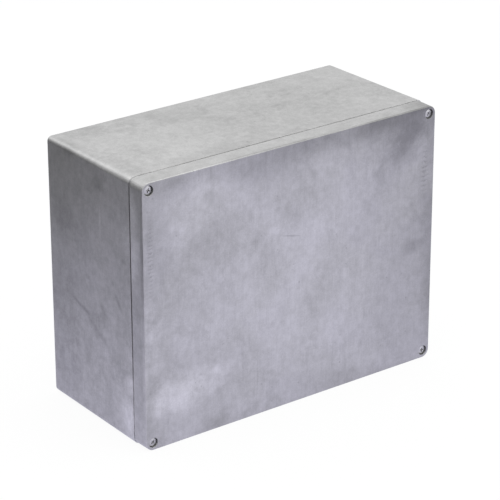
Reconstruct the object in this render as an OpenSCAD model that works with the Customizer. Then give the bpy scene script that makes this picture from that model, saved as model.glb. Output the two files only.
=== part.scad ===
// Die cast aluminium enclosure: a drafted tub, a deep lid and four lid screws.
// It stands on a long narrow side, with the lid's face towards -Y and the closed back towards +Y.
// The origin is under the middle of the box, on the surface it stands on. All sizes are millimetres.

/* [Box] */
// Outside length, measured at the parting line
box_l = 220; // [150:1:320]
// Outside height at the parting line, standing on a long narrow side
box_h = 171; // [100:1:260]
// Outside depth, from the lid's face to the closed back
box_d = 100.7; // [60:1:160]
// Wall thickness at the parting line
wall = 3.5; // [3.3:0.1:4.5]
// Thickness of the closed back
back_t = 3.5; // [2:0.1:6]
// Draft of every cast wall, in degrees
draft = 0.7; // [0.2:0.1:1.5]
// Radius of the body's four long edges, at the closed back
body_edge_r = 3.1; // [1.5:0.1:4]
// Radius of the edge round the closed back
back_edge_r = 1.2; // [0.4:0.1:1.5]
// Radius in the corners and round the floor of the two hollows
inside_r = 2.5; // [1:0.1:4]

/* [Lid] */
// Depth of the lid, from its face to the parting line
lid_d = 11.8; // [10:0.1:20]
// Thickness of the lid's face
lid_t = 3.4; // [2:0.1:5]
// Radius of the lid's four corners, at its face
lid_corner_r = 5.2; // [3:0.1:7]
// Radius of the edge round the lid's face
lid_edge_r = 0.6; // [0.4:0.1:2]

/* [Lap joint] */
// Width of the shadow groove that shows along the parting line
seam_w = 1.2; // [0.3:0.1:1.5]
// Depth of the shadow groove
seam_depth = 0.55; // [0.3:0.05:1]
// Width of the tongue that stands on the body's rim
tongue_w = 1.4; // [1:0.1:1.6]
// Height of the tongue
tongue_h = 2; // [1:0.1:3.5]
// Distance from the edge of the opening to the tongue
tongue_set = 0.2; // [0.1:0.05:0.3]
// Clearance between the tongue and the lid
tongue_gap = 0.3; // [0.2:0.05:0.4]

/* [Corner posts] */
// Distance of each screw from the two outside faces beside it
screw_inset = 5.1; // [4.5:0.1:7]
// Radius of the posts at the parting line
post_r = 5.8; // [5.4:0.1:7]
// Depth of the tapped holes past the ends of the screws
thread_runout = 4; // [2:0.5:8]

/* [Screws] */
// Outside diameter of the screw thread
screw_d = 3.5; // [3:0.1:4]
// Length of the screws under the head
screw_len = 20; // [15:0.5:25]
// Diameter of the screw heads
head_d = 5.9; // [5:0.1:6]
// Height of the screw heads
head_h = 2.3; // [1.8:0.1:3]
// Depth of the screw heads below the lid's face
head_sink = 0.7; // [0.3:0.1:2]
// Radial clearance of the heads in the lid's counterbores
head_gap = 0.25; // [0.2:0.05:0.5]
// Radial clearance of the screws in the lid
hole_gap = 0.25; // [0.1:0.05:0.4]
// Radial clearance of the screws in the tapped holes
thread_gap = 0.05; // [0.02:0.01:0.1]

/* [Ejector marks] */
// Diameter of the marks that the ejector pins leave on the floor of both hollows
eject_d = 7; // [4:0.5:10]
// Depth of the marks
eject_depth = 0.25; // [0.1:0.05:0.4]
// Distance of the outer marks from the two outside faces beside them
eject_inset = 26; // [18:1:40]

/* [Hidden] */
$fn = 64;

// Facets of the cast walls' rounded corners and edges
cast_fn = 32;
// How far a cutter runs past the face that it opens
over = 1;
body_d = box_d - lid_d;
// Place of the parting plane along Y
part_y = lid_d - box_d / 2;
// Place of the screw axes from the middle of the box
screw_x = box_l / 2 - screw_inset;
screw_z = box_h / 2 - screw_inset;
// The screws' places, measured outwards from the parting plane
seat_out = lid_d - head_sink - head_h;
tip_in = screw_len - seat_out;
// Angle of a twist drill's point, from its axis, and the half width of its chisel edge
drill_point = 59;
drill_web = 0.3;
// The screws' rounded tops and pointed ends
dome_r = head_d * 1.4;
tip_chamfer = screw_d * 0.15;
// Cross recess in the screw heads
cross_w = head_d * 0.13;
cross_l = head_d * 0.5;
cross_depth = head_h * 0.55;

// How much a cast wall leans inwards over a given depth
function lean(depth) = depth * tan(draft);

// Half section of a cast wall that leans in and is rounded at its closed end, from a corner's own axis
module edge_section(depth, end_r, edge_r) {
    start_r = end_r + lean(depth);
    centre = [end_r + edge_r * (tan(draft) - 1 / cos(draft)), depth - edge_r];
    wall_end = centre + edge_r * [cos(draft), sin(draft)];
    intersection() {
        square([start_r, depth]);
        union() {
            polygon([[0, 0], [start_r, 0], wall_end, [centre.x, depth], [0, depth]]);
            translate(centre) circle(edge_r);
        }
    }
}

// Cast block on the parting plane: l by h there, drafted to its closed end, with rounded corners and edge
module cast_block(l, h, depth, end_r, edge_r) {
    core = [l, h] / 2 - [1, 1] * (end_r + lean(depth));
    hull()
        for (x = [-core.x, core.x], y = [-core.y, core.y])
            translate([x, y, 0])
                rotate_extrude($fn = cast_fn)
                    edge_section(depth, end_r, min(edge_r, end_r), $fn = cast_fn);
}

// Repeats its children on the four screw axes, mirrored so that +X and +Y point out to the box's corner
module at_screws() {
    for (x = [0, 1], y = [0, 1])
        mirror([x, 0, 0])
            mirror([0, y, 0])
                translate([screw_x, screw_z, 0])
                    children();
}

// Hollow of a cast half: straight walls and a drafted post round each screw axis
module hollow(depth) {
    difference() {
        translate([0, 0, -over])
            cast_block(box_l - 2 * wall + 2 * lean(over), box_h - 2 * wall + 2 * lean(over),
                depth + over, inside_r, inside_r);
        translate([0, 0, -2 * over])
            at_screws() {
                cylinder(h = depth + 3 * over, r1 = post_r - lean(2 * over), r2 = post_r + lean(depth + over));
                cube([screw_inset, screw_inset, depth + 3 * over]);
            }
    }
}

// Shallow discs, three along each long side, that the ejector pins press into the floor of a hollow
module ejector_marks(depth) {
    place = [box_l, box_h] / 2 - [1, 1] * eject_inset;
    for (x = [-1, 0, 1], y = [-1, 1])
        translate([x * place.x, y * place.y, depth - over])
            cylinder(h = eject_depth + over, d = eject_d, $fn = cast_fn);
}

// Outline of the opening at the parting plane, grown into the walls and the posts by a given distance
module mouth(grow) {
    difference() {
        square([box_l, box_h] + 2 * (grow - wall) * [1, 1], center = true);
        at_screws() {
            circle(post_r - grow);
            square(screw_inset);
        }
    }
}

// Ring outside the groove's floor, which the shadow groove takes off the body's rim
module seam_ring() {
    rim_r = body_edge_r + lean(body_d) - seam_depth;
    core = [box_l, box_h] / 2 - [1, 1] * (seam_depth + rim_r);
    difference() {
        square([box_l, box_h] + 2 * over * [1, 1], center = true);
        hull()
            for (x = [-core.x, core.x], y = [-core.y, core.y])
                translate([x, y])
                    circle(rim_r, $fn = cast_fn);
    }
}

// Blind tapped hole with a drill point, down from the parting plane
module tapped_hole() {
    r = screw_d / 2 + thread_gap;
    depth = tip_in + thread_runout;
    translate([0, 0, -over])
        cylinder(h = depth + over, r = r);
    translate([0, 0, depth])
        cylinder(h = (r - drill_web) / tan(drill_point), r1 = r, r2 = drill_web);
}

// Tub with its corner posts and ejector marks, the shadow groove round its rim and the lap joint's tongue
module box_body() {
    color("#b9b9bf")
        translate([0, part_y, box_h / 2])
            rotate([-90, 0, 0]) {
                difference() {
                    cast_block(box_l, box_h, body_d, body_edge_r, back_edge_r);
                    hollow(body_d - back_t);
                    ejector_marks(body_d - back_t);
                    translate([0, 0, -over])
                        linear_extrude(over + seam_w)
                            seam_ring();
                    at_screws()
                        tapped_hole();
                }
                translate([0, 0, -tongue_h])
                    linear_extrude(tongue_h + over)
                        difference() {
                            mouth(tongue_set + tongue_w);
                            mouth(tongue_set);
                        }
            }
}

// Deep lid with a rebate for the tongue, and a counterbored hole through each post
module lid() {
    color("#aeadb8")
        translate([0, part_y, box_h / 2])
            rotate([90, 0, 0])
                difference() {
                    cast_block(box_l, box_h, lid_d, lid_corner_r, lid_edge_r);
                    hollow(lid_d - lid_t);
                    ejector_marks(lid_d - lid_t);
                    translate([0, 0, -over])
                        linear_extrude(over + tongue_h + tongue_gap)
                            mouth(tongue_set + tongue_w + tongue_gap);
                    at_screws() {
                        translate([0, 0, -over])
                            cylinder(h = lid_d + 2 * over, r = screw_d / 2 + hole_gap);
                        translate([0, 0, seat_out])
                            cylinder(h = head_sink + head_h + over, r = head_d / 2 + head_gap);
                    }
                }
}

// Cross recess for a driver, down from the top of a screw head
module cross_recess() {
    translate([0, 0, -cross_depth]) {
        for (turn = [0, 90])
            rotate([0, 0, turn])
                translate([-cross_l / 2, -cross_w / 2, 0])
                    cube([cross_l, cross_w, cross_depth + over]);
        cylinder(h = cross_depth, r1 = cross_w / 2, r2 = cross_w);
    }
}

// Lid screw with a raised head, on the screw axis at the given sides and turned as it was tightened
module lid_screw(side_x, side_z, turn) {
    color("#c9c9cc")
        translate([side_x * screw_x, part_y - seat_out, box_h / 2 + side_z * screw_z])
            rotate([90, turn, 0]) {
                difference() {
                    intersection() {
                        cylinder(h = head_h, d = head_d);
                        translate([0, 0, head_h - dome_r])
                            sphere(dome_r);
                    }
                    translate([0, 0, head_h])
                        cross_recess();
                }
                translate([0, 0, tip_chamfer - screw_len])
                    cylinder(h = screw_len - tip_chamfer + over / 2, d = screw_d);
                translate([0, 0, -screw_len])
                    cylinder(h = tip_chamfer, d1 = screw_d - 2 * tip_chamfer, d2 = screw_d);
            }
}

box_body();
lid();
lid_screw(-1, 1, 20);  // screw_top_left
lid_screw(1, 1, 35);  // screw_top_right
lid_screw(-1, -1, 45);  // screw_bottom_left
lid_screw(1, -1, 10);  // screw_bottom_right
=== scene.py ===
"""Looks of a die cast aluminium enclosure.

A deep body and a shallower lid, both tumbled raw castings, stand on their side. Four sunk screws with raised
heads and cross recesses hold the lid. The castings keep their solid shapes and get their finish here. The
screws are rebuilt with rounded heads and cut threads.
"""

from __future__ import annotations

import logging
import math
from dataclasses import dataclass
from enum import Enum

import bmesh
import bpy
from bmesh.types import BMesh, BMVert
from bpy.types import Material, Mesh, Node, NodeOutputs, NodeSocket, NodeTree, Object
from mathutils import Matrix, Vector


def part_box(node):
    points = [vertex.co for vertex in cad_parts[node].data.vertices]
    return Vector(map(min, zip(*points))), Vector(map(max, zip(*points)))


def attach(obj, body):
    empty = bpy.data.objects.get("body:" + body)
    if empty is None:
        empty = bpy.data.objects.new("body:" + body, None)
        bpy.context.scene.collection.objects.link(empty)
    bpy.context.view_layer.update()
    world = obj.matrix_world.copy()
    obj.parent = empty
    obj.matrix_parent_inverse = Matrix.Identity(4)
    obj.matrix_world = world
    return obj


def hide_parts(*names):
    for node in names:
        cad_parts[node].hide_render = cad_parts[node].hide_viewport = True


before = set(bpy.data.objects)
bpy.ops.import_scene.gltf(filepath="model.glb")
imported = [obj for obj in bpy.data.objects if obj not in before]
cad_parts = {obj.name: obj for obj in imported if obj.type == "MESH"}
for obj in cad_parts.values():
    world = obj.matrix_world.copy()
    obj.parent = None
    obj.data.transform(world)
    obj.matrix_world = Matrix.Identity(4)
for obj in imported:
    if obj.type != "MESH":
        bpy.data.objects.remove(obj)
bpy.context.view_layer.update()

LOG = logging.getLogger("enclosure")
MM = 0.001
ORIGIN = (0.0, 0.0, 0.0)
WHITE = (1.0, 1.0, 1.0)

Triple = tuple[float, float, float]
Source = NodeSocket | float | tuple


class Casting(Enum):
    """The two castings, named as their solids are."""

    BODY = "box_body"
    LID = "lid"


class Slot(Enum):
    """The material slots of the record."""

    BODY = "cast_aluminium_body"
    LID = "cast_aluminium_lid"
    SCREW = "screw_steel"


class Socket(Enum):
    """The kinds of socket that a shader group can have."""

    NUMBER = "NodeSocketFloat"
    VECTOR = "NodeSocketVector"


class Ray(Enum):
    """The rays that see the studio's white background, as outputs of Light Path."""

    CAMERA = "Is Camera Ray"
    GLOSSY = "Is Glossy Ray"
    TRANSMISSION = "Is Transmission Ray"


# ---- Shader trees ----


class Graph:
    """Adds nodes to one shader tree and links them."""

    def __init__(self, tree: NodeTree) -> None:
        """Starts with an empty tree."""
        self.tree = tree
        self.tree.nodes.clear()

    def add(self, kind: str, inputs: dict[int | str, Source] | None = None, **settings: object) -> Node:
        """Adds one node.

        Args:
            kind: The node's type without the word ShaderNode.
            inputs: What feeds its inputs, by their names or numbers.
            **settings: Properties to set on the node.

        Returns:
            The new node.
        """
        node = self.tree.nodes.new(f"ShaderNode{kind}")
        for name, value in settings.items():
            setattr(node, name, value)
        for name, source in (inputs or {}).items():
            self.feed(node.inputs[name], source)
        return node

    def feed(self, socket: NodeSocket, source: Source) -> None:
        """Links a socket to its source, or sets it when the source is a plain value.

        Args:
            socket: The input to feed.
            source: An output socket, a number, or a tuple, which for a colour has no alpha.
        """
        if isinstance(source, NodeSocket):
            self.tree.links.new(source, socket)
        elif socket.type == "RGBA":
            socket.default_value = (*source, 1.0)
        else:
            socket.default_value = source

    def math(self, operation: str, first: Source, second: Source = 0.0, third: Source = 0.0) -> NodeSocket:
        """Adds a Math node.

        Args:
            operation: The operation's name.
            first: The first value.
            second: The second value.
            third: The third value, where the operation takes one.

        Returns:
            The result.
        """
        return self.add("Math", {0: first, 1: second, 2: third}, operation=operation).outputs[0]

    def product(self, first: Source, second: Source) -> NodeSocket:
        """Multiplies two values."""
        return self.math("MULTIPLY", first, second)

    def weighted(self, *parts: tuple[Source, float], start: Source = 0.0) -> NodeSocket:
        """Adds values up, each times its weight.

        Args:
            *parts: Pairs of a value and its weight.
            start: What they are added to.

        Returns:
            The sum.
        """
        total = start
        for value, weight in parts:
            total = self.math("MULTIPLY_ADD", value, weight, total)
        return total

    def vector(self, operation: str, first: Source, second: Source = ORIGIN) -> NodeSocket:
        """Adds a Vector Math node.

        Args:
            operation: The operation's name.
            first: The first vector.
            second: The second vector.

        Returns:
            The result, which is a number for a length or a dot product.
        """
        node = self.add("VectorMath", {0: first, 1: second}, operation=operation)
        return node.outputs["Value" if operation in ("LENGTH", "DOT_PRODUCT") else "Vector"]

    def scaled(self, vector: Source, factor: Source) -> NodeSocket:
        """Multiplies a vector by a number."""
        return self.add("VectorMath", {0: vector, "Scale": factor}, operation="SCALE").outputs["Vector"]

    def turned(self, vector: Source, angles: Source) -> NodeSocket:
        """Rotates a vector about the three axes, by angles in radians."""
        inputs = {"Vector": vector, "Rotation": angles}
        return self.add("VectorRotate", inputs, rotation_type="EULER_XYZ").outputs[0]

    def axes(self, vector: Source, absolute: bool = False) -> NodeOutputs:
        """Splits a vector, or its absolute values, into X, Y and Z."""
        return self.add("SeparateXYZ", {0: self.vector("ABSOLUTE", vector) if absolute else vector}).outputs

    def ramp(self, value: Source, low: float, high: float, start: float = 0.0,
             end: float = 1.0) -> NodeSocket:
        """Maps a value smoothly from one range to another and holds it there.

        Args:
            value: The value to map.
            low: The value that gives start.
            high: The value that gives end.
            start: The result at low.
            end: The result at high.

        Returns:
            The mapped value.
        """
        inputs = {0: value, 1: low, 2: high, 3: start, 4: end}
        return self.add("MapRange", inputs, interpolation_type="SMOOTHSTEP").outputs[0]

    def mix(self, factor: Source, first: Source, second: Source) -> NodeSocket:
        """Mixes two colours, from the first at a factor of 0 to the second at 1."""
        return self.add("Mix", {0: factor, 6: first, 7: second}, data_type="RGBA").outputs[2]

    def mix_shaders(self, factor: Source, first: Node, second: Node) -> Node:
        """Mixes two shaders, from the first at a factor of 0 to the second at 1."""
        return self.add("MixShader", {0: factor, 1: first.outputs[0], 2: second.outputs[0]})

    def place(self, group: NodeTree, **values: Source) -> NodeOutputs:
        """Places a shader group, feeds its inputs by name and gives its outputs."""
        return self.add("Group", values, node_tree=group).outputs

    def end(self, shader: Node, kind: str = "Material") -> None:
        """Links a shader to the output of a material or a world."""
        self.add(f"Output{kind}", {"Surface": shader.outputs[0]})

    def end_in_metal(self, colour: Source, roughness: Source, **bump: Source) -> None:
        """Ends a material in bare metal.

        Args:
            colour: The metal's colour.
            roughness: Its roughness.
            **bump: What feeds the Bump node that gives its relief.
        """
        relief = self.add("Bump", bump).outputs["Normal"]
        inputs = {"Metallic": 1.0, "Base Color": colour, "Roughness": roughness, "Normal": relief}
        self.end(self.add("BsdfPrincipled", inputs))


def new_material(name: str) -> tuple[Material, Graph]:
    """Makes a material.

    Args:
        name: The material's name.

    Returns:
        The material and the graph of its empty tree.
    """
    material = bpy.data.materials.new(name)
    material.use_nodes = True
    return material, Graph(material.node_tree)


class EffectGraph(Graph):
    """The tree of a shader group, with named inputs and outputs."""

    def __init__(self, name: str, inputs: dict[str, float | Triple], outputs: dict[str, Socket]) -> None:
        """Makes a group with its sockets.

        Args:
            name: The group's name.
            inputs: The first value of each input.
            outputs: The kind of each output.
        """
        super().__init__(bpy.data.node_groups.new(name, "ShaderNodeTree"))
        for label, value in inputs.items():
            kind = Socket.VECTOR if isinstance(value, tuple) else Socket.NUMBER
            self._new_socket(label, "INPUT", kind).default_value = value
        for label, kind in outputs.items():
            self._new_socket(label, "OUTPUT", kind)
        self.given = self.tree.nodes.new("NodeGroupInput").outputs
        self.results = self.tree.nodes.new("NodeGroupOutput").inputs

    def _new_socket(self, label: str, side: str, kind: Socket) -> bpy.types.NodeTreeInterfaceSocket:
        """Adds one socket to the group."""
        return self.tree.interface.new_socket(name=label, in_out=side, socket_type=kind.value)

    def put_out(self, **results: Source) -> NodeTree:
        """Feeds the group's outputs by name.

        Args:
            **results: What feeds each output.

        Returns:
            The finished group.
        """
        for name, source in results.items():
            self.feed(self.results[name], source)
        return self.tree

    def measured(self, size: str) -> NodeSocket:
        """Gives the group's Vector as a count of the size that the named input gives."""
        return self.scaled(self.given["Vector"], self.math("DIVIDE", 1.0, self.given[size]))

    def noise(self, vector: Source, scale: float, shift: float = 0.0, detail: float = 3.0,
              roughness: float = 0.5, distortion: float = 0.0, output: str = "Fac") -> NodeSocket:
        """Adds a four-dimensional noise, so that the group gives a new pattern for each Seed.

        Args:
            vector: Where the noise is read.
            scale: Features per unit of the vector.
            shift: What is added to the seed, so that each layer of the group has its own pattern.
            detail: The number of finer layers.
            roughness: How strong the finer layers are.
            distortion: How far the pattern is swirled.
            output: Fac for one value, or Color for three.

        Returns:
            The noise.
        """
        seed = self.math("ADD", self.given["Seed"], shift)
        inputs = {"Vector": vector, "W": seed, "Scale": scale, "Detail": detail, "Roughness": roughness,
                  "Distortion": distortion}
        return self.add("TexNoise", inputs, noise_dimensions="4D").outputs[output]


class Effects:
    """The shader groups that the finishes share, each built once."""

    def __init__(self) -> None:
        """Builds every group."""
        self.clouds = self._casting_clouds()
        self.streaks = self._drag_streaks()
        self.border = self._face_border()
        self.grain = self._tumbled_grain()
        self.edge = self._edge_wear()
        self.painted_occlusion_shade = self._painted_corner_shade()
        self.patch = self._mark_and_painted_light_patch()
        self.ladder = self._ladder_marks()

    @staticmethod
    def _casting_clouds() -> NodeTree:
        """Builds the large pattern of a raw casting.

        Returns:
            A group that puts out soft clouds, ragged blotches and soft curved flow marks, each from 0 to 1.
        """
        graph = EffectGraph("casting_clouds", {"Vector": ORIGIN, "Size": 0.05, "Seed": 0.0},
                            {"Clouds": Socket.NUMBER, "Blotches": Socket.NUMBER, "Flow": Socket.NUMBER})
        place = graph.measured("Size")
        cloud = graph.noise(place, 1.0, detail=6.0, roughness=0.6, distortion=0.4)
        blotch = graph.noise(place, 3.6, 29.0, detail=5.0, roughness=0.62, distortion=0.9)
        swirl = graph.scaled(graph.noise(place, 1.1, 3.1, detail=2.0, output="Color"), 0.7)
        bent = graph.vector("ADD", graph.turned(place, (0.0, 0.55, 0.0)), swirl)
        drawn = graph.vector("MULTIPLY", bent, (3.4, 3.4, 0.8))
        line = graph.ramp(graph.noise(drawn, 1.3, 7.7, detail=4.0, roughness=0.6), 0.5, 0.68)
        where = graph.ramp(graph.noise(place, 0.9, 11.3, detail=2.0), 0.42, 0.62)
        return graph.put_out(Clouds=graph.ramp(cloud, 0.3, 0.7), Blotches=graph.ramp(blotch, 0.5, 0.72),
                             Flow=graph.product(line, where))

    @staticmethod
    def _drag_streaks() -> NodeTree:
        """Builds the fine streaks that the tumbling media drag over a casting.

        Returns:
            A group that puts out the streaks from 0 to 1. They run upright on upright faces and along the
            length on level ones.
        """
        graph = EffectGraph("drag_streaks", {"Vector": ORIGIN, "Facing": ORIGIN, "Width": 0.001,
                                             "Seed": 0.0}, {"Streaks": Socket.NUMBER})
        place = graph.measured("Width")
        level = graph.math("GREATER_THAN", graph.axes(graph.given["Facing"], absolute=True)["Z"], 0.7)
        upright = graph.vector("MULTIPLY", place, (1.0, 1.0, 0.08))
        along = graph.vector("MULTIPLY", place, (0.08, 1.0, 1.0))
        wander = graph.scaled(graph.noise(graph.scaled(place, 0.03), 1.0, detail=1.0, output="Color"), 3.0)
        bent = graph.vector("ADD", graph.mix(level, upright, along), wander)
        fine = graph.ramp(graph.noise(bent, 0.8, 17.9, roughness=0.62), 0.46, 0.72)
        where = graph.noise(graph.scaled(place, 0.05), 1.0, 23.3, detail=2.0)
        return graph.put_out(Streaks=graph.product(fine, graph.ramp(where, 0.4, 0.62, 0.15, 1.0)))

    @staticmethod
    def _face_border() -> NodeTree:
        """Builds a duller, ragged border round the piece's two largest faces.

        Returns:
            A group that puts out 0 in the middle of those faces and on all others, and 1 at their borders.
        """
        graph = EffectGraph("face_border", {"Vector": ORIGIN, "Facing": ORIGIN, "Centre": ORIGIN,
                                            "Half": (0.1, 0.1, 0.1), "Width": 0.015, "Breakup": 0.5},
                            {"Border": Socket.NUMBER})
        given = graph.given
        away = graph.vector("ABSOLUTE", graph.vector("SUBTRACT", given["Vector"], given["Centre"]))
        inward = graph.axes(graph.vector("SUBTRACT", given["Half"], away))
        share = graph.math("DIVIDE", graph.math("MINIMUM", inward["X"], inward["Z"]), given["Width"])
        ragged = graph.math("MULTIPLY_ADD", graph.math("SUBTRACT", 0.5, given["Breakup"]), 1.6, share)
        on_face = graph.ramp(graph.axes(given["Facing"], absolute=True)["Y"], 0.8, 0.98)
        return graph.put_out(Border=graph.product(graph.ramp(ragged, 0.0, 1.0, 1.0, 0.0), on_face))

    @staticmethod
    def _tumbled_grain() -> NodeTree:
        """Builds the fine skin that tumbling leaves on a casting.

        Returns:
            A group that puts out a mottle from 0 to 1, small pits from 0 to 1, and a height from 0 to 1.
        """
        graph = EffectGraph("tumbled_grain", {"Vector": ORIGIN, "Grain": 0.001, "Seed": 0.0},
                            {"Mottle": Socket.NUMBER, "Pits": Socket.NUMBER, "Height": Socket.NUMBER})
        place = graph.measured("Grain")
        fine = graph.noise(place, 1.0, detail=4.0, roughness=0.65)
        broad = graph.noise(place, 0.22, 2.3, roughness=0.6)
        upright = graph.noise(graph.vector("MULTIPLY", place, (1.0, 1.0, 0.09)), 0.9, 5.9, detail=2.0)
        mottle = graph.weighted((upright, 0.14), (broad, 0.42), (fine, 0.44))

        cells = graph.add("TexVoronoi", {"Vector": place, "Scale": 0.22}, feature="F1")
        reach = graph.ramp(graph.axes(cells.outputs["Color"])["X"], 0.72, 1.0, 0.0, 0.16)
        pits = graph.math("LESS_THAN", cells.outputs["Distance"], reach)
        pits = graph.product(pits, graph.ramp(fine, 0.35, 0.6))
        return graph.put_out(Mottle=graph.ramp(mottle, 0.34, 0.66), Pits=pits,
                             Height=graph.weighted((broad, 0.45), (fine, 0.55), (pits, -0.5)))

    @staticmethod
    def _edge_wear() -> NodeTree:
        """Builds the burnish that tumbling and handling leave on edges.

        Returns:
            A group that puts out a mask, 1 on rounded and sharp edges, and the normal with its edges eased.
        """
        graph = EffectGraph("edge_wear", {"Radius": 0.0006, "Breakup": 0.5},
                            {"Edge": Socket.NUMBER, "Normal": Socket.VECTOR})
        eased = graph.add("Bevel", {"Radius": graph.given["Radius"]}, samples=6).outputs["Normal"]
        match = graph.vector("DOT_PRODUCT", eased, graph.add("NewGeometry").outputs["Normal"])
        sharp = graph.ramp(match, 0.72, 0.985, 1.0, 0.0)
        parts = graph.axes(graph.add("TexCoord").outputs["Normal"], absolute=True)
        widest = graph.math("MAXIMUM", parts["X"], graph.math("MAXIMUM", parts["Y"], parts["Z"]))
        edge = graph.math("MAXIMUM", sharp, graph.ramp(widest, 0.75, 0.99, 0.8, 0.0))
        worn = graph.ramp(graph.given["Breakup"], 0.2, 0.7, 0.45, 1.0)
        return graph.put_out(Edge=graph.product(edge, worn), Normal=eased)

    @staticmethod
    def _painted_corner_shade() -> NodeTree:
        """Builds painted shade for grooves, holes and inner corners, from ambient occlusion.

        Returns:
            A group that puts out a mask, 1 deep in a corner, less near the foot and none along the top.
        """
        graph = EffectGraph("painted_corner_shade", {"Reach": 0.003, "Strength": 1.0, "Top": 0.17},
                            {"Grime": Socket.NUMBER})
        shade = graph.add("AmbientOcclusion", {"Distance": graph.given["Reach"]}, samples=6)
        deep = graph.ramp(shade.outputs["AO"], 0.25, 0.9, 1.0, 0.0)
        above_foot = graph.axes(graph.add("TexCoord").outputs["Object"])["Z"]
        height = graph.math("DIVIDE", above_foot, graph.given["Top"])
        below_top = graph.ramp(height, 0.982, 0.992, 1.0, 0.0)
        kept = graph.product(graph.ramp(height, 0.05, 0.75, 0.15, 1.0), below_top)
        return graph.put_out(Grime=graph.product(deep, graph.product(kept, graph.given["Strength"])))

    @staticmethod
    def _mark_and_painted_light_patch() -> NodeTree:
        """Builds one soft patch of another tone, for smudges and scratches and for painted light and shade.

        Returns:
            A group that puts out a mask, 1 at the patch's centre and 0 past its reach.
        """
        graph = EffectGraph("mark_and_painted_light_patch", {"Vector": ORIGIN, "Centre": ORIGIN, "Reach": (0.05, 0.05, 0.05),
                                            "Turn": ORIGIN, "Breakup": 0.5},
                            {"Patch": Socket.NUMBER})
        given = graph.given
        away = graph.turned(graph.vector("SUBTRACT", given["Vector"], given["Centre"]), given["Turn"])
        distance = graph.vector("LENGTH", graph.vector("DIVIDE", away, given["Reach"]))
        ragged = graph.math("MULTIPLY_ADD", graph.math("SUBTRACT", given["Breakup"], 0.5), 0.9, distance)
        return graph.put_out(Patch=graph.ramp(ragged, 0.1, 1.1, 1.0, 0.0))

    @staticmethod
    def _ladder_marks() -> NodeTree:
        """Builds a column of short level dashes, which the castings' stack rubs into a face's border.

        Returns:
            A group that puts out a mask, 1 on a dash.
        """
        graph = EffectGraph("ladder_marks", {"Vector": ORIGIN, "Centre": ORIGIN,
                                             "Reach": (0.004, 0.01, 0.03), "Spacing": 0.004, "Breakup": 0.5},
                            {"Marks": Socket.NUMBER})
        given = graph.given
        away = graph.vector("SUBTRACT", given["Vector"], given["Centre"])
        turns = graph.math("DIVIDE", graph.axes(away)["Z"], given["Spacing"])
        turns = graph.math("MULTIPLY_ADD", given["Breakup"], 0.8, turns)
        wave = graph.ramp(graph.math("COSINE", graph.product(turns, math.tau)), 0.35, 0.95)
        distance = graph.vector("LENGTH", graph.vector("DIVIDE", away, given["Reach"]))
        ragged = graph.math("MULTIPLY_ADD", given["Breakup"], 0.8, distance)
        return graph.put_out(Marks=graph.product(wave, graph.ramp(ragged, 0.7, 1.35, 1.0, 0.0)))


# ---- Finishes ----


@dataclass(frozen=True)
class MarkAndPaintedLightPatch:
    """A soft patch of another tone on a casting, for smudges and scratches and for painted light and shade.

    Attributes:
        centre: The patch's centre as shares of the piece's box, from its lowest to its highest corner.
        reach: The patch's half widths along its three axes, in metres.
        tone: How bright the patch is, where 1 leaves the casting as it is.
        turn: How far the patch is turned about the three axes, in degrees.
    """

    centre: Triple
    reach: Triple
    tone: float
    turn: Triple = ORIGIN


@dataclass(frozen=True)
class LadderMarks:
    """A column of short level dashes near an edge of a casting.

    Attributes:
        centre: The column's centre as shares of the piece's box.
        reach: The column's half widths along the three axes, in metres.
        spacing: The distance between two dashes, in metres.
        tone: How bright the dashes are, where 1 leaves the casting as it is.
    """

    centre: Triple
    reach: Triple
    spacing: float
    tone: float


@dataclass(frozen=True, kw_only=True)
class BareMetal:
    """Bare metal with dulled clouds, a fine grain, worn edges and painted shade in its corners.

    Attributes:
        name: The material's name.
        bright: The colour of the brightest skin.
        dull: The colour of the duller clouds.
        cloud_size: The width of a cloud, in metres.
        grain: The width of a grain of the skin, in metres.
        relief: The height of the skin's relief, in metres.
        roughness: The roughness of the brightest and of the dullest skin.
        worn_colour: The colour of a fully worn edge.
        worn_share: How far an edge goes towards that colour.
        edge_radius: The radius in which an edge counts as worn, in metres.
        painted_shade: How strong the painted shade in grooves, holes and recesses is.
        painted_shade_level: How bright the painted shade is, as a share of the dull colour.
        painted_shade_reach: How far the painted shade reaches out of a corner, in metres.
        painted_shade_roughness: What the painted shade's mask adds to the roughness.
    """

    name: str
    bright: Triple
    dull: Triple
    cloud_size: float
    grain: float
    relief: float
    roughness: tuple[float, float]
    worn_colour: Triple
    worn_share: float
    edge_radius: float
    painted_shade: float
    painted_shade_level: float
    painted_shade_reach: float
    painted_shade_roughness: float

    def _colour(self, graph: Graph, clouds: Source, tone: Source, edge: Source, painted_shade: Source) -> NodeSocket:
        """Mixes the metal's colour.

        Args:
            graph: The material's graph.
            clouds: The mask of the duller clouds.
            tone: How bright the skin is, where 1 leaves its colour as it is.
            edge: The mask of the worn edges.
            painted_shade: The mask of the painted shade in corners.

        Returns:
            The colour.
        """
        colour = graph.scaled(graph.mix(clouds, self.bright, self.dull), tone)
        colour = graph.mix(graph.product(edge, self.worn_share), colour, self.worn_colour)
        # Painted shade: grooves, holes and inner corners darken towards a share of the dull colour.
        return graph.mix(painted_shade, colour, tuple(channel * self.painted_shade_level for channel in self.dull))


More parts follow.
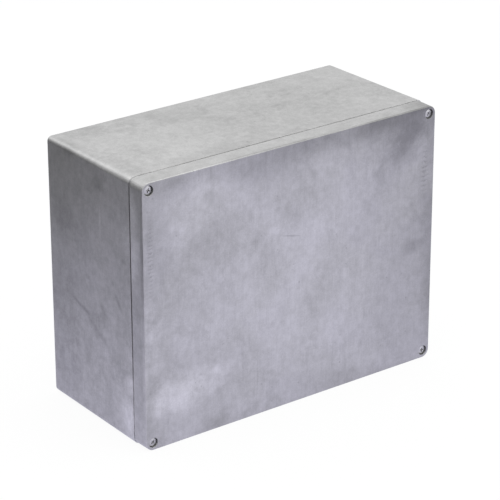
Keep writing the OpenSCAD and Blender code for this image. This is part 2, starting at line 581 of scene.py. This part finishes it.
@dataclass(frozen=True, kw_only=True)
class CastFinish(BareMetal):
    """Raw die cast aluminium, tumbled and left bare.

    Attributes:
        mottle: How strong the fine mottle is.
        streaks: How strong the drag streaks are.
        flow: How strong the flow marks are.
        blotches: How strong the ragged dark blotches are.
        border: How strong the dull border of each face is.
        seed: The number that makes this casting's patterns its own.
        patches: The soft patches of another tone: smudges, scratches, painted highlights and painted shade.
        ladders: The columns of dashes.
        pits: How dark the small pits are.
        edge_roughness: What an edge adds to the roughness.
        mottle_roughness: What the mottle adds to the roughness.
        streak_width: The width of a drag streak, in metres.
        border_width: The width of the dull border, in metres.
    """

    mottle: float
    streaks: float
    flow: float
    blotches: float
    border: float
    seed: float
    patches: tuple[MarkAndPaintedLightPatch, ...]
    ladders: tuple[LadderMarks, ...] = ()
    pits: float = 0.22
    edge_roughness: float = -0.08
    mottle_roughness: float = 0.06
    streak_width: float = 1.1 * MM
    border_width: float = 13.0 * MM
    grain: float = 0.9 * MM
    relief: float = 0.03 * MM
    roughness: tuple[float, float] = (0.45, 0.55)
    worn_colour: Triple = (0.68, 0.68, 0.68)
    worn_share: float = 0.2
    edge_radius: float = 0.3 * MM
    painted_shade_level: float = 0.14
    painted_shade_reach: float = 2.0 * MM
    painted_shade_roughness: float = 0.15

    def material(self, effects: Effects, low: Vector, high: Vector) -> Material:
        """Builds the material.

        Args:
            effects: The shared shader groups.
            low: The lowest corner of the piece's box.
            high: The highest corner of the piece's box.

        Returns:
            The new material.
        """
        material, graph = new_material(self.name)
        coordinates = graph.add("TexCoord").outputs
        place, facing = coordinates["Object"], coordinates["Normal"]
        clouds = graph.place(effects.clouds, Vector=place, Size=self.cloud_size, Seed=self.seed)
        grain = graph.place(effects.grain, Vector=place, Grain=self.grain, Seed=self.seed)
        streaks = graph.place(effects.streaks, Vector=place, Facing=facing, Width=self.streak_width,
                              Seed=self.seed)["Streaks"]
        border = graph.place(effects.border, Vector=place, Facing=facing, Centre=tuple((low + high) / 2.0),
                             Half=tuple((high - low) / 2.0), Width=self.border_width,
                             Breakup=clouds["Clouds"])["Border"]
        edge = graph.place(effects.edge, Radius=self.edge_radius, Breakup=grain["Mottle"])
        # Painted shade in grooves, holes and inner corners, from ambient occlusion; less near the foot, none
        # along the top.
        painted_shade = graph.place(effects.painted_occlusion_shade, Reach=self.painted_shade_reach, Strength=self.painted_shade, Top=high.z)["Grime"]

        tone = 1.0
        layers = ((clouds["Blotches"], self.blotches), (clouds["Flow"], self.flow), (streaks, self.streaks),
                  (grain["Mottle"], self.mottle), (grain["Pits"], self.pits), (border, self.border))
        marks = self._marks(graph, effects, place, (clouds["Clouds"], grain["Mottle"]), (low, high))
        for mask, loss in (*layers, *marks):
            tone = graph.product(tone, graph.math("MULTIPLY_ADD", mask, -loss, 1.0))

        colour = self._colour(graph, clouds["Clouds"], tone, edge["Edge"], painted_shade)
        roughness = graph.weighted(
            (edge["Edge"], self.edge_roughness), (grain["Mottle"], self.mottle_roughness),
            (painted_shade, self.painted_shade_roughness), start=graph.ramp(clouds["Clouds"], 0.0, 1.0, *self.roughness))
        graph.end_in_metal(colour, roughness, Strength=1.0, Distance=self.relief, Height=grain["Height"],
                           Normal=edge["Normal"])
        return material

    def _marks(self, graph: Graph, effects: Effects, place: Source, noises: tuple[Source, Source],
               box: tuple[Vector, Vector]) -> list[tuple[Source, float]]:
        """Adds the soft patches and the dashes.

        Args:
            graph: The material's graph.
            effects: The shared shader groups.
            place: The position on the piece.
            noises: The clouds that make the patches ragged and the mottle that breaks the dashes up.
            box: The piece's lowest and highest corner.

        Returns:
            The mask of each mark and how much of the tone it takes away.
        """
        clouds, mottle = noises
        marks = []
        for mark in (*self.patches, *self.ladders):
            centre = tuple(a + (b - a) * share for a, b, share in zip(*box, mark.centre))
            if isinstance(mark, MarkAndPaintedLightPatch):
                turn = tuple(math.radians(angle) for angle in mark.turn)
                mask = graph.place(effects.patch, Vector=place, Centre=centre, Reach=mark.reach, Turn=turn,
                                   Breakup=clouds)
            else:
                mask = graph.place(effects.ladder, Vector=place, Centre=centre, Reach=mark.reach,
                                   Spacing=mark.spacing, Breakup=mottle)
            marks.append((mask[0], 1.0 - mark.tone))
        return marks


@dataclass(frozen=True, kw_only=True)
class PlatedFinish(BareMetal):
    """Bright zinc plating on a steel screw, over the rings that turning left.

    Attributes:
        grain_seed: The number that makes the screws' grain their own.
        cloud_seed: The number that makes the screws' clouds their own.
        ring_pitch: The distance between two turning marks, in metres.
        ring_share: The height of the turning marks, as a share of the relief.
        relief_strength: How strongly the relief is shaded.
        top: The height that the painted shade takes as the top. It is far above a screw, so the painted
            shade is as faint everywhere as it is at a casting's foot.
    """

    grain_seed: float = 41.0
    cloud_seed: float = 43.0
    ring_pitch: float = 0.12 * MM
    ring_share: float = 0.5
    relief_strength: float = 0.6
    top: float = 1.0
    cloud_size: float = 3.0 * MM
    grain: float = 0.35 * MM
    relief: float = 0.004 * MM
    roughness: tuple[float, float] = (0.39, 0.53)
    worn_colour: Triple = (0.8, 0.8, 0.8)
    worn_share: float = 0.35
    edge_radius: float = 0.12 * MM
    painted_shade: float = 0.45
    painted_shade_level: float = 0.12
    painted_shade_reach: float = 1.2 * MM
    painted_shade_roughness: float = 0.3

    def material(self, effects: Effects) -> Material:
        """Builds the material.

        Args:
            effects: The shared shader groups.

        Returns:
            The new material.
        """
        material, graph = new_material(self.name)
        place = graph.add("TexCoord").outputs["Object"]
        grain = graph.place(effects.grain, Vector=place, Grain=self.grain, Seed=self.grain_seed)
        clouds = graph.place(effects.clouds, Vector=place, Size=self.cloud_size,
                             Seed=self.cloud_seed)["Clouds"]
        edge = graph.place(effects.edge, Radius=self.edge_radius, Breakup=grain["Mottle"])["Edge"]
        # Painted shade in the screw's recess, thread and other hollows, from ambient occlusion.
        painted_shade = graph.place(effects.painted_occlusion_shade, Reach=self.painted_shade_reach, Strength=self.painted_shade, Top=self.top)["Grime"]
        colour = self._colour(graph, clouds, 1.0, edge, painted_shade)
        roughness = graph.weighted((painted_shade, self.painted_shade_roughness),
                                   start=graph.ramp(clouds, 0.0, 1.0, *self.roughness))
        radius = graph.vector("LENGTH", graph.vector("MULTIPLY", place, (1.0, 1.0, 0.0)))
        rings = graph.math("SINE", graph.product(radius, math.tau / self.ring_pitch))
        graph.end_in_metal(colour, roughness, Strength=self.relief_strength, Distance=self.relief,
                           Height=graph.weighted((rings, self.ring_share), start=grain["Height"]))
        return material


def left_patch(y: float, z: float, deep: float, high: float, tone: float, turn: float = 0.0) -> MarkAndPaintedLightPatch:
    """Gives a patch on the body's left side, at shares of its depth and height, turned about X."""
    return MarkAndPaintedLightPatch((0.0, y, z), (10.0 * MM, deep, high), tone, (turn, 0.0, 0.0))


def face_patch(x: float, z: float, wide: float, high: float, tone: float, turn: float = 0.0) -> MarkAndPaintedLightPatch:
    """Gives a patch on the lid's face, at shares of its length and height, turned about Y."""
    return MarkAndPaintedLightPatch((x, 0.0, z), (wide, 4.0 * MM, high), tone, (0.0, turn, 0.0))


BODY_FINISH = CastFinish(
    name="tumbled_cast_aluminium_body",
    bright=(0.59, 0.59, 0.59),
    dull=(0.515, 0.515, 0.515),
    cloud_size=0.07,
    mottle=0.2,
    streaks=0.06,
    flow=0.16,
    blotches=0.11,
    border=0.08,
    painted_shade=0.55,
    seed=5.0,
    patches=(
        # Painted shade: the left side darker towards the back.
        left_patch(1.0, 0.36, 0.068, 0.15, 0.81),
        left_patch(0.22, 0.85, 0.009, 0.014, 0.94),
        left_patch(0.06, 0.14, 0.034, 0.07, 1.25),
        left_patch(0.0, 0.85, 0.03, 0.05, 1.12),
        left_patch(0.4, 0.92, 0.006, 0.005, 0.86),
        left_patch(0.82, 0.72, 0.012, 0.012, 0.84),
        left_patch(0.38, 0.77, 0.0012, 0.014, 1.1),
        left_patch(0.11, 0.68, 0.0035, 0.003, 0.78),
        left_patch(0.18, 0.51, 0.011, 0.0035, 0.74, -55.0),
        left_patch(0.65, 0.42, 0.018, 0.0022, 0.78, -16.0),
        left_patch(0.36, 0.45, 0.012, 0.004, 0.84, -40.0),
        left_patch(0.45, 0.36, 0.02, 0.003, 0.86, -28.0),
        left_patch(0.55, 0.25, 0.008, 0.02, 0.9, 12.0),
        # Painted reflection: a lighter band along the rounded top edge of the left side.
        MarkAndPaintedLightPatch((0.0, 0.3, 0.985), (0.0015, 0.035, 0.0018), 1.18),
        # Painted light: the seam groove lighter low on the left side.
        MarkAndPaintedLightPatch((0.0, 0.029, 0.22), (0.002, 0.0011, 0.055), 1.33),
        # Painted light: the seam groove lighter along the top.
        MarkAndPaintedLightPatch((0.5, 0.029, 0.997), (0.19, 0.0011, 0.0014), 1.15),
        MarkAndPaintedLightPatch((0.66, 0.5, 1.0), (0.07, 0.02, 0.03), 0.94),
        MarkAndPaintedLightPatch((0.86, 0.55, 1.0), (0.02, 0.003, 0.03), 0.9, (0.0, 0.0, -12.0)),
        MarkAndPaintedLightPatch((0.3, 0.2, 1.0), (0.05, 0.012, 0.03), 1.05),
    ),
)

LID_FINISH = CastFinish(
    name="tumbled_cast_aluminium_lid",
    bright=(0.577, 0.577, 0.577),
    dull=(0.533, 0.533, 0.533),
    cloud_size=0.05,
    mottle=0.17,
    streaks=0.07,
    flow=0.1,
    blotches=0.07,
    border=0.12,
    painted_shade=0.4,
    seed=23.0,
    patches=(
        # Painted shade: darker bands under the face's top edge, deepest towards the right.
        MarkAndPaintedLightPatch((0.56, 0.0, 1.0), (0.1, 0.0018, 0.018), 0.8),
        MarkAndPaintedLightPatch((0.86, 0.0, 1.0), (0.075, 0.0018, 0.032), 0.6),
        face_patch(0.9, 0.74, 0.03, 0.05, 0.95),
        MarkAndPaintedLightPatch((0.97, 0.4, 1.0), (0.016, 0.014, 0.003), 0.74),
        face_patch(1.0, 0.55, 0.014, 0.07, 0.86),
        face_patch(0.19, 0.83, 0.032, 0.028, 1.17),
        face_patch(0.1, 0.19, 0.038, 0.014, 1.28, 4.0),
        face_patch(0.05, 0.76, 0.012, 0.045, 0.88),
        face_patch(0.5, 0.07, 0.035, 0.012, 0.9),
        face_patch(0.93, 0.47, 0.011, 0.006, 0.82),
        face_patch(0.49, 0.655, 0.008, 0.0004, 0.74, -14.0),
        face_patch(0.45, 0.45, 0.09, 0.08, 1.07),
        # Painted shade: the right end of the face darker.
        face_patch(1.0, 0.4, 0.075, 0.12, 0.84),
        face_patch(0.45, 0.93, 0.05, 0.018, 0.89),
        # Painted light: a lighter band beside the seam groove on the lid's left side.
        MarkAndPaintedLightPatch((0.0, 1.0, 0.84), (0.002, 0.009, 0.05), 1.36),
        MarkAndPaintedLightPatch((0.0, 0.5, 0.35), (0.002, 0.02, 0.085), 0.9),
        face_patch(0.0, 0.3, 0.014, 0.06, 1.13),
        # Painted highlight on the rounded top-left corner.
        MarkAndPaintedLightPatch((0.0, 0.45, 1.0), (0.0055, 0.009, 0.0055), 1.7),
        # Painted shade: a dark line on the lid's left side beside the front-left edge.
        MarkAndPaintedLightPatch((0.0, 0.12, 0.72), (0.002, 0.0013, 0.09), 0.83),
        # Painted glint at the top-left corner by the seam.
        MarkAndPaintedLightPatch((0.02, 1.0, 0.995), (0.003, 0.0015, 0.003), 1.6),
        # Painted highlight along the face's top edge, at its left end.
        MarkAndPaintedLightPatch((0.15, 0.0, 1.0), (0.05, 0.0012, 0.0012), 1.08),
        # Painted highlight along the front-left edge, low down.
        face_patch(0.003, 0.3, 0.0022, 0.07, 1.12),
        face_patch(0.1, 0.965, 0.02, 0.011, 0.88),
        face_patch(0.33, 0.7, 0.035, 0.02, 1.05),
    ),
    ladders=(
        LadderMarks((0.024, 0.0, 0.735), (0.0028, 0.004, 0.034), 2.5 * MM, 0.77),
        LadderMarks((0.965, 0.0, 0.76), (0.004, 0.004, 0.022), 3.2 * MM, 0.77),
    ),
)

SCREW_FINISH = PlatedFinish(name="bright_zinc_plated_steel", bright=(0.6, 0.6, 0.6), dull=(0.52, 0.52, 0.52))


# ---- Pieces ----


def add_object(name: str, data: bpy.types.ID) -> Object:
    """Makes an object of the scene.

    Args:
        name: The object's name.
        data: Its mesh, light or camera.

    Returns:
        The new object.
    """
    made = bpy.data.objects.new(name, data)
    bpy.context.scene.collection.objects.link(made)
    return made


def finished_mesh(shape: BMesh, name: str) -> Mesh:
    """Turns a shape into a mesh.

    Args:
        shape: The shape, which is freed.
        name: The mesh's name.

    Returns:
        The new mesh.
    """
    mesh = bpy.data.meshes.new(name)
    shape.to_mesh(mesh)
    shape.free()
    return mesh


def dress(piece: Object, material: Material, crease: float) -> None:
    """Smooths a piece's rounds and lays on its finish.

    Args:
        piece: The piece.
        material: Its finish.
        crease: The angle between two faces above which an edge stays sharp, in degrees.
    """
    piece.data.materials.clear()
    piece.data.materials.append(material)
    piece.data.shade_smooth()
    piece.data.set_sharp_from_angle(angle=math.radians(crease))
    LOG.info("%s: %d faces, finish %s", piece.name, len(piece.data.polygons), material.name)


@dataclass
class CastPiece:
    """A casting that keeps its solid shape and gets its finish.

    Attributes:
        casting: Which casting it is.
        slot: The record's slot that its finish stands for. It is not used.
        finish: The finish.
        crease: The angle between two faces above which an edge stays sharp, in degrees.
        face_weight: How far large faces set the shading of the rounds beside them.
    """

    casting: Casting
    slot: Slot
    finish: CastFinish
    crease: float = 32.0
    face_weight: int = 100

    def build(self, effects: Effects) -> None:
        """Dresses the solid.

        Args:
            effects: The shared shader groups.
        """
        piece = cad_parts[self.casting.value]
        low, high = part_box(self.casting.value)
        dress(piece, self.finish.material(effects, low, high), self.crease)
        even = piece.modifiers.new("even_shading", "WEIGHTED_NORMAL")
        even.keep_sharp = True
        even.weight = self.face_weight


@dataclass(frozen=True)
class ScrewPlace:
    """Where one lid screw sits.

    Attributes:
        node: The name of its solid, which its body has too.
        turn: How far it was turned when it was tightened, in degrees.
    """

    node: str
    turn: float


@dataclass
class LidScrew:
    """A machine screw with a raised cheese head, a cross recess and a cut thread.

    Attributes:
        place: Where the screw sits.
        head_height: From the seat to the top of the dome.
        dome_radius: The radius of the dome.
        dome_steps: The number of rings on the dome.
        rim_round: The radius that eases the head's rim.
        shank_radius: The outer radius of the thread.
        pitch: The rise of the thread in one turn.
        thread_depth: From the crest to the root.
        neck: The plain length under the head.
        tip_chamfer: The chamfer at the tip.
        recess_width: The width of the recess's slots at the top.
        recess_length: The length of the recess's slots at the top.
        recess_depth: The depth of the recess.
        recess_floor: The length of the slots at their floor, as a share of that at the top.
        point_radii: The radii of the recess's round middle, at its floor and at its top.
        crease: The angle between two faces above which an edge stays sharp, in degrees.
        segments: The number of sides of a full turn.
    """

    place: ScrewPlace
    head_height: float = 2.3 * MM
    dome_radius: float = 8.26 * MM
    dome_steps: int = 9
    rim_round: float = 0.22 * MM
    shank_radius: float = 1.75 * MM
    pitch: float = 0.6 * MM
    thread_depth: float = 0.36 * MM
    neck: float = 1.2 * MM
    tip_chamfer: float = 0.5 * MM
    recess_width: float = 0.77 * MM
    recess_length: float = 2.95 * MM
    recess_depth: float = 1.27 * MM
    recess_floor: float = 0.62
    point_radii: tuple[float, float] = (0.2 * MM, 0.95 * MM)
    crease: float = 38.0
    segments: int = 40

    def build(self, material: Material) -> None:
        """Makes the screw in its place.

        Args:
            material: The screw's finish.
        """
        low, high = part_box(self.place.node)
        mesh = self._turned_mesh((high.x - low.x) / 2.0, high.y - low.y - self.head_height)
        screw = add_object(f"{self.place.node}_cut", mesh)
        self._cut_recess(screw)
        seat = Vector(((low.x + high.x) / 2.0, low.y + self.head_height, (low.z + high.z) / 2.0))
        upright = Matrix.Rotation(math.radians(90.0), 4, "X")
        tightened = Matrix.Rotation(math.radians(self.place.turn), 4, "Y")
        screw.matrix_world = Matrix.Translation(seat) @ tightened @ upright
        dress(screw, material, self.crease)
        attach(screw, self.place.node)
        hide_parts(self.place.node)

    def _turned_mesh(self, head_radius: float, length: float) -> Mesh:
        """Builds the head, the neck, the thread and the tip round +Z, with the seat at height 0.

        Args:
            head_radius: The radius of the head.
            length: From the seat to the tip.

        Returns:
            The closed mesh.
        """
        shape = bmesh.new()
        root_radius = self.shank_radius - self.thread_depth
        thread_top = -self.neck
        thread_bottom = self.tip_chamfer - length
        weld = 0.0005 * MM
        neck = [
            (self.shank_radius * 1.12, 0.0),
            (self.shank_radius, -0.12 * self.neck),
            (self.shank_radius, -0.7 * self.neck),
            (root_radius, thread_top),
        ]
        tip = [(root_radius, thread_bottom), (self.shank_radius - self.tip_chamfer, -length), (0.0, -length)]
        self._revolve(shape, self._head_profile(head_radius) + neck)
        self._cut_thread(shape, thread_top, thread_bottom, root_radius)
        self._revolve(shape, tip)
        bmesh.ops.remove_doubles(shape, verts=shape.verts, dist=weld)
        bmesh.ops.dissolve_degenerate(shape, edges=shape.edges, dist=weld)
        bmesh.ops.recalc_face_normals(shape, faces=shape.faces)
        return finished_mesh(shape, f"{self.place.node}_mesh")

    def _head_profile(self, head_radius: float) -> list[tuple[float, float]]:
        """Gives the head's outline, from the top of the dome to the seat.

        Args:
            head_radius: The radius of the head.

        Returns:
            Points of radius and height.
        """
        centre = self.head_height - self.dome_radius
        rim_top = centre + math.sqrt(self.dome_radius**2 - head_radius**2)
        dome_end = math.asin((head_radius - self.rim_round) / self.dome_radius)
        points = []
        for step in range(self.dome_steps + 1):
            angle = dome_end * step / self.dome_steps
            points.append((self.dome_radius * math.sin(angle), centre + self.dome_radius * math.cos(angle)))
        points += [
            (head_radius - 0.3 * self.rim_round, rim_top - 0.25 * self.rim_round),
            (head_radius, rim_top - self.rim_round),
            (head_radius, 0.4 * self.rim_round),
            (head_radius - 0.4 * self.rim_round, 0.0),
        ]
        return points

    def _point(self, shape: BMesh, side: int, radius: float, height: float) -> BMVert:
        """Adds a point to a shape at a side's angle round the Z axis."""
        angle = math.tau * side / self.segments
        return shape.verts.new((radius * math.cos(angle), radius * math.sin(angle), height))

    def _revolve(self, shape: BMesh, profile: list[tuple[float, float]]) -> None:
        """Turns a profile round the Z axis into a shape.

        Args:
            shape: The shape that takes the faces.
            profile: Points of radius and height, in order.
        """
        rings = [[self._point(shape, side, *point) for side in range(self.segments)] for point in profile]
        for upper, lower in zip(rings, rings[1:]):
            for side in range(self.segments):
                after = (side + 1) % self.segments
                shape.faces.new((upper[side], lower[side], lower[after], upper[after]))

    def _cut_thread(self, shape: BMesh, top: float, bottom: float, root_radius: float) -> None:
        """Adds the thread as rows that climb with the helix and fade out at both ends.

        Args:
            shape: The shape that takes the faces.
            top: The height where the thread starts under the neck.
            bottom: The height where it ends above the tip.
            root_radius: The radius at the thread's root.
        """
        # Each row's share of the pitch, and how far it stands out, from the root at 0 to the crest at 1
        rows = ((0.0, 0.0), (0.25, 0.0), (0.56, 1.0), (0.69, 1.0))
        turns = math.ceil((top - bottom) / self.pitch) + 2
        columns = []
        for side in range(self.segments):
            column = []
            for row in range(len(rows) * (turns + 1) + 1):
                whole, part = divmod(row, len(rows))
                phase, crest = rows[part]
                climb = (whole + phase - 1.0 + side / self.segments) * self.pitch
                height = min(max(bottom + climb, bottom), top)
                fade = min(1.0, (height - bottom) / self.pitch, (top - height) / self.pitch)
                radius = root_radius + self.thread_depth * crest * fade
                column.append(self._point(shape, side, radius, height))
            columns.append(column)
        columns.append(columns[0][len(rows):])
        for column, following in zip(columns, columns[1:]):
            for row in range(min(len(column), len(following)) - 1):
                shape.faces.new((column[row + 1], column[row], following[row], following[row + 1]))

    def _cut_recess(self, screw: Object) -> None:
        """Cuts the cross recess into the head, with slots that narrow as they go down.

        Args:
            screw: The screw, which has its head up.
        """
        point = bmesh.new()
        floor_radius, top_radius = self.point_radii
        bmesh.ops.create_cone(point, cap_ends=True, segments=16, radius1=floor_radius, radius2=top_radius,
                              depth=self.recess_depth)
        middle = self.head_height - self.recess_depth / 2.0 + 0.02 * MM
        bmesh.ops.translate(point, verts=point.verts, vec=(0.0, 0.0, middle))
        shapes = {"recess_slot_0": self._slot_cutter(0.0), "recess_slot_1": self._slot_cutter(90.0),
                  "recess_point": point}
        cutters = [add_object(name, finished_mesh(shape, name)) for name, shape in shapes.items()]
        for cutter in cutters:
            cut = screw.modifiers.new("recess", "BOOLEAN")
            cut.operation = "DIFFERENCE"
            cut.solver = "EXACT"
            cut.object = cutter
        bpy.context.view_layer.update()
        finished = bpy.data.meshes.new_from_object(
            screw.evaluated_get(bpy.context.evaluated_depsgraph_get()))
        screw.modifiers.clear()
        screw.data = finished
        for cutter in cutters:
            bpy.data.objects.remove(cutter)

    def _slot_cutter(self, turn: float) -> BMesh:
        """Builds the wedge that cuts one slot of the recess.

        Args:
            turn: The slot's direction, in degrees from the X axis.

        Returns:
            The wedge, which stands proud of the head.
        """
        proud = 0.3 * MM
        shape = bmesh.new()
        corners = []
        for height, share in ((self.head_height + proud, 1.0 + proud / self.recess_depth * 0.3),
                              (self.head_height - self.recess_depth, self.recess_floor)):
            half_length = self.recess_length / 2.0 * share
            half_width = self.recess_width / 2.0 * (0.6 + 0.4 * share)
            for x, y in ((-1, -1), (1, -1), (1, 1), (-1, 1)):
                corners.append(shape.verts.new((x * half_length, y * half_width, height)))
        for face in ((0, 1, 2, 3), (7, 6, 5, 4), (0, 4, 5, 1), (1, 5, 6, 2), (2, 6, 7, 3), (3, 7, 4, 0)):
            shape.faces.new([corners[index] for index in face])
        bmesh.ops.recalc_face_normals(shape, faces=shape.faces)
        bmesh.ops.rotate(shape, verts=shape.verts, matrix=Matrix.Rotation(math.radians(turn), 3, "Z"))
        return shape


@dataclass
class Enclosure:
    """The whole enclosure: two castings and their four screws.

    Attributes:
        castings: The body and the lid.
        screws: The places of the screws.
    """

    castings: tuple[CastPiece, ...] = (
        CastPiece(Casting.BODY, Slot.BODY, BODY_FINISH),
        CastPiece(Casting.LID, Slot.LID, LID_FINISH),
    )
    screws: tuple[ScrewPlace, ...] = (
        ScrewPlace("screw_top_left", 20.0),
        ScrewPlace("screw_top_right", 35.0),
        ScrewPlace("screw_bottom_left", 45.0),
        ScrewPlace("screw_bottom_right", 10.0),
    )

    def build(self, effects: Effects) -> None:
        """Dresses the castings and makes the screws.

        Args:
            effects: The shared shader groups.
        """
        for casting in self.castings:
            casting.build(effects)
        plating = SCREW_FINISH.material(effects)
        for place in self.screws:
            LidScrew(place).build(plating)


# ---- Studio ----


def turn_to(thing: Object, place: Triple, aim: Triple, front: str) -> None:
    """Puts a lamp or a card in its place and turns its front axis to a point."""
    thing.location = place
    thing.rotation_euler = (Vector(aim) - Vector(place)).to_track_quat(front, "Y").to_euler()


def flat_sheet(name: str, width: float, height: float) -> Mesh:
    """Makes one flat face round the origin.

    Args:
        name: The mesh's name.
        width: Its size along X.
        height: Its size along Y.

    Returns:
        The mesh.
    """
    mesh = bpy.data.meshes.new(name)
    corners = [(x * width / 2.0, y * height / 2.0, 0.0) for x, y in ((-1, -1), (1, -1), (1, 1), (-1, 1))]
    mesh.from_pydata(corners, [], [(0, 1, 2, 3)])
    return mesh


@dataclass(frozen=True)
class SoftLamp:
    """A rectangular soft box.

    Attributes:
        name: The lamp's name.
        place: Its centre.
        aim: The point that it faces.
        size: Its width and height.
        power: Its power, in watts.
    """

    name: str
    place: Triple
    aim: Triple
    size: tuple[float, float]
    power: float

    def build(self) -> None:
        """Hangs the lamp in the studio."""
        light = bpy.data.lights.new(self.name, "AREA")
        light.shape = "RECTANGLE"
        light.size, light.size_y = self.size
        light.energy = self.power
        turn_to(add_object(self.name, light), self.place, self.aim, "-Z")


@dataclass(frozen=True)
class StudioCard:
    """A grey card that only reflections show.

    Attributes:
        name: The card's name.
        place: Its centre.
        aim: The point that it faces.
        size: Its width and height.
        level: Its brightness, where 1 is the white of the background.
    """

    name: str
    place: Triple
    aim: Triple
    size: tuple[float, float]
    level: float

    def build(self) -> None:
        """Stands the card in the studio."""
        card = add_object(self.name, flat_sheet(self.name, *self.size))
        turn_to(card, self.place, self.aim, "Z")
        card.visible_camera = False
        card.visible_diffuse = False
        card.visible_shadow = False
        material, graph = new_material(f"{self.name}_paper")
        graph.end(graph.add("Emission", {"Color": (self.level, self.level, self.level)}))
        card.data.materials.append(material)


@dataclass
class Studio:
    """A plain white studio with a pale floor, soft lamps and a camera.

    Attributes:
        camera_place: Where the camera stands.
        camera_azimuth: The direction from which it looks, in degrees from -Y towards +X.
        camera_elevation: How far it stands above what it looks at, in degrees.
        camera_roll: How far it is rolled, in degrees.
        camera_lens: Its focal length, in millimetres.
        camera_sensor: The width of its sensor, in millimetres.
        camera_clip: The nearest and the farthest distance that it sees.
        floor_width: The floor's width.
        floor_colour: The colour of the floor.
        floor_white: How much of the floor's look is plain white, and not the light that falls on it.
        floor_tint: The colour of the floor in reflections.
        world_level: The brightness of the soft light from all round.
        lamps: The soft boxes.
        cards: The grey cards.
    """

    camera_place: Triple = (-0.83505, -1.11590, 0.68460)
    camera_azimuth: float = -36.966
    camera_elevation: float = 23.280
    camera_roll: float = -0.098
    camera_lens: float = 176.555
    camera_sensor: float = 36.0
    camera_clip: tuple[float, float] = (0.05, 50.0)
    floor_width: float = 12.0
    floor_colour: Triple = (0.86, 0.86, 0.86)
    floor_white: float = 0.93
    floor_tint: Triple = (0.91, 0.89, 1.09)
    world_level: float = 1.05
    lamps: tuple[SoftLamp, ...] = (
        SoftLamp("overhead_soft_box", (0.1, -0.15, 1.5), (0.0, 0.0, 0.1), (1.1, 1.1), 6.0),
        SoftLamp("front_soft_box", (0.9, -1.7, 1.0), (0.0, 0.0, 0.08), (1.0, 1.0), 5.0),
        SoftLamp("back_soft_box", (-0.3, 1.5, 1.25), (0.0, 0.0, 0.12), (1.2, 0.5), 2.0),
    )
    cards: tuple[StudioCard, ...] = (
        StudioCard("left_card", (-1.3, 0.4, 0.5), (0.0, 0.4, 0.5), (3.5, 1.0), 0.25),
        StudioCard("floor_card", (-1.0, 0.7, 0.001), (-1.0, 0.7, 1.0), (1.4, 3.0), 0.02),
        StudioCard("near_card", (-0.24, 0.53, 0.002), (-0.24, 0.53, 1.0), (0.2, 0.56), 0.5),
        StudioCard("camera_card", (-1.1, -0.75, 0.001), (-1.1, -0.75, 1.0), (0.7, 0.7), 0.1),
    )

    def build(self) -> None:
        """Builds the studio round the enclosure."""
        self._build_world()
        self._lay_floor()
        for piece in (*self.lamps, *self.cards):
            piece.build()
        self._stand_camera()
        bpy.context.scene.view_settings.view_transform = "Standard"
        LOG.info("studio: %d lamps, %d cards", len(self.lamps), len(self.cards))

    @staticmethod
    def _sees_white(graph: Graph) -> NodeSocket:
        """Finds the rays that see the white background.

        Args:
            graph: The graph of the floor or the world.

        Returns:
            1 for those rays and 0 for the light that falls on things.
        """
        path = graph.add("LightPath")
        total = path.outputs[Ray.CAMERA.value]
        for ray in (Ray.GLOSSY, Ray.TRANSMISSION):
            total = graph.math("MAXIMUM", total, path.outputs[ray.value])
        return total

    def _build_world(self) -> None:
        """Makes the world white for the eye and a plain grey for the light."""
        world = bpy.data.worlds.new("studio_world")
        world.use_nodes = True
        graph = Graph(world.node_tree)
        light = graph.add("Background", {"Color": WHITE, "Strength": self.world_level})
        seen = graph.add("Background", {"Color": WHITE, "Strength": 1.0})
        graph.end(graph.mix_shaders(self._sees_white(graph), light, seen), "World")
        bpy.context.scene.world = world

    def _lay_floor(self) -> None:
        """Lays the floor, which keeps the enclosure's soft shadow and is clear from below."""
        floor = add_object("studio_floor", flat_sheet("studio_floor", self.floor_width, self.floor_width))
        material, graph = new_material("white_floor")
        lit = graph.add("BsdfDiffuse", {"Color": self.floor_colour})
        direct = graph.add("LightPath").outputs[Ray.CAMERA.value]
        white = graph.add("Emission", {"Color": graph.mix(direct, self.floor_tint, WHITE)})
        share = graph.product(self._sees_white(graph), self.floor_white)
        above = graph.mix_shaders(share, lit, white)
        below = graph.add("NewGeometry").outputs["Backfacing"]
        graph.end(graph.mix_shaders(below, above, graph.add("BsdfTransparent")))
        floor.data.materials.append(material)

    def _stand_camera(self) -> None:
        """Stands the camera in its place and makes it the scene's."""
        angles = (self.camera_azimuth, self.camera_elevation, self.camera_roll)
        azimuth, elevation, roll = (math.radians(angle) for angle in angles)
        back = Vector((math.sin(azimuth) * math.cos(elevation), -math.cos(azimuth) * math.cos(elevation),
                       math.sin(elevation)))
        right = Vector((math.cos(azimuth), math.sin(azimuth), 0.0))
        axes = Matrix((right, back.cross(right), back)).transposed().to_4x4()
        data = bpy.data.cameras.new("studio_camera")
        data.lens = self.camera_lens
        data.sensor_width = self.camera_sensor
        data.clip_start, data.clip_end = self.camera_clip
        camera = add_object("studio_camera", data)
        camera.matrix_world = Matrix.Translation(self.camera_place) @ axes @ Matrix.Rotation(roll, 4, "Z")
        bpy.context.scene.camera = camera


def main() -> None:
    """Builds the studio and the enclosure."""
    logging.basicConfig(level=logging.INFO, format="%(name)s: %(message)s")
    Studio().build()
    Enclosure().build(Effects())


if __name__ == "__main__":
    main()
